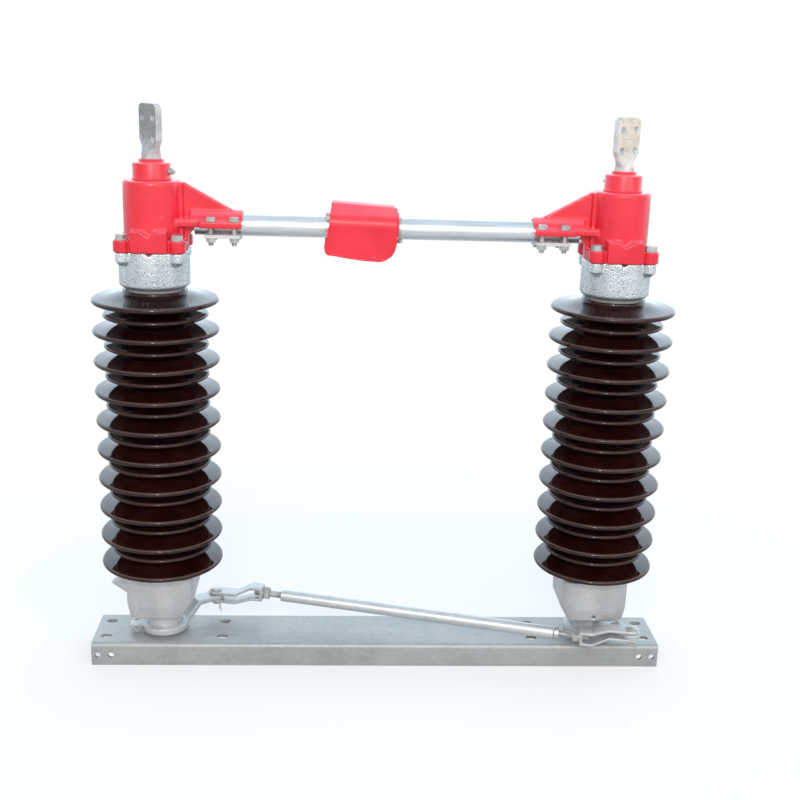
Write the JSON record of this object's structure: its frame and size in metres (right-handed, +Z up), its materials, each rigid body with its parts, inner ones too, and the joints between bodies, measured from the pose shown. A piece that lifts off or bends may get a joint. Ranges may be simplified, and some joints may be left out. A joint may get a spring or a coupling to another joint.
{
  "type": "centre-break substation disconnect switch",
  "caption": "Outdoor disconnect switch: two turning porcelain posts on a channel base, linked by a crossed rod, carry arms that meet in a hooded contact.",
  "frame": {"origin": "on the ground at the middle of the base", "axes": "+X along the base from the hooded arm's post to the other, +Y to the back, +Z up"},
  "size_m": [0.922, 0.19, 0.878],
  "materials": {
    "galvanised": "hot-dip galvanised steel",
    "cast_metal": "galvanised casting, slightly rough",
    "porcelain": "dark brown glazed porcelain, very glossy",
    "cement": "pale cement",
    "red_paint": "glossy red enamel",
    "fastener": "zinc plated",
    "arm_aluminium": "drawn aluminium",
    "contact_copper": "tinned copper"
  },
  "bodies": {
    "base": {"base_channel": "galvanised", "left_bearing_housing": "galvanised", "right_bearing_housing": "galvanised"},
    "left_post": {"left_shaft": "galvanised", "left_lever": "galvanised", "left_lever_bolt": "fastener", "left_lower_casting": "cast_metal", "left_insulator": "porcelain", "left_cement_collar": "cement", "left_upper_casting": "cast_metal", "left_contact_head": "red_paint", "left_head_bolts": "fastener", "left_head_cap": "red_paint", "left_arm_tube": "arm_aluminium", "left_clamp_plate": "fastener", "left_clamp_bolts": "fastener", "finger_block": "contact_copper", "contact_fingers": "contact_copper", "rain_hood": "red_paint", "hood_saddle": "red_paint"},
    "right_post": {"right_shaft": "galvanised", "right_lever": "galvanised", "right_lever_bolt": "fastener", "right_lower_casting": "cast_metal", "right_insulator": "porcelain", "right_cement_collar": "cement", "right_upper_casting": "cast_metal", "right_contact_head": "red_paint", "right_head_bolts": "fastener", "right_head_cap": "red_paint", "right_arm_tube": "arm_aluminium", "right_clamp_plate": "fastener", "right_clamp_bolts": "fastener", "contact_blade": "contact_copper"},
    "left_terminal_body": {"left_terminal": "arm_aluminium"},
    "right_terminal_body": {"right_terminal": "arm_aluminium"},
    "link": {"left_fork": "galvanised", "left_fork_pin": "fastener", "left_stud": "fastener", "link_rod": "galvanised"},
    "right_link_end": {"right_fork": "galvanised", "right_fork_pin": "fastener", "right_stud": "fastener"}
  },
  "joints": [
    {"name": "left_post_turn", "type": "hinge", "parent": "base", "child": "left_post", "pos_m": [-0.35, 0, 0.038], "axis": [0, 0, 1], "range_deg": [0, 90]},
    {"name": "right_post_turn", "type": "hinge", "parent": "base", "child": "right_post", "pos_m": [0.35, 0, 0.038], "axis": [0, 0, 1], "range_deg": [-90, 0]},
    {"name": "link_left_pin", "type": "hinge", "parent": "left_post", "child": "link", "pos_m": [-0.27233, 0.05643, 0.072], "axis": [0, 0, 1], "range_deg": [-90, 0]},
    {"name": "link_right_pin", "type": "hinge", "parent": "right_post", "child": "right_link_end", "pos_m": [0.40643, -0.07767, 0.072], "axis": [0, 0, 1], "range_deg": [0, 90]},
    {"name": "left_terminal_swivel", "type": "hinge", "parent": "left_post", "child": "left_terminal_body", "pos_m": [-0.35, 0, 0.79], "axis": [0, 0, 1], "range_deg": [-90, 90]},
    {"name": "right_terminal_swivel", "type": "hinge", "parent": "right_post", "child": "right_terminal_body", "pos_m": [0.35, 0, 0.79], "axis": [0, 0, 1], "range_deg": [-90, 90]}
  ],
  "couplings": [
    {"joint": "right_post_turn", "follows": "left_post_turn", "ratio": -1},
    {"joint": "link_left_pin", "follows": "left_post_turn", "ratio": -1},
    {"joint": "link_right_pin", "follows": "left_post_turn", "ratio": 1}
  ]
}
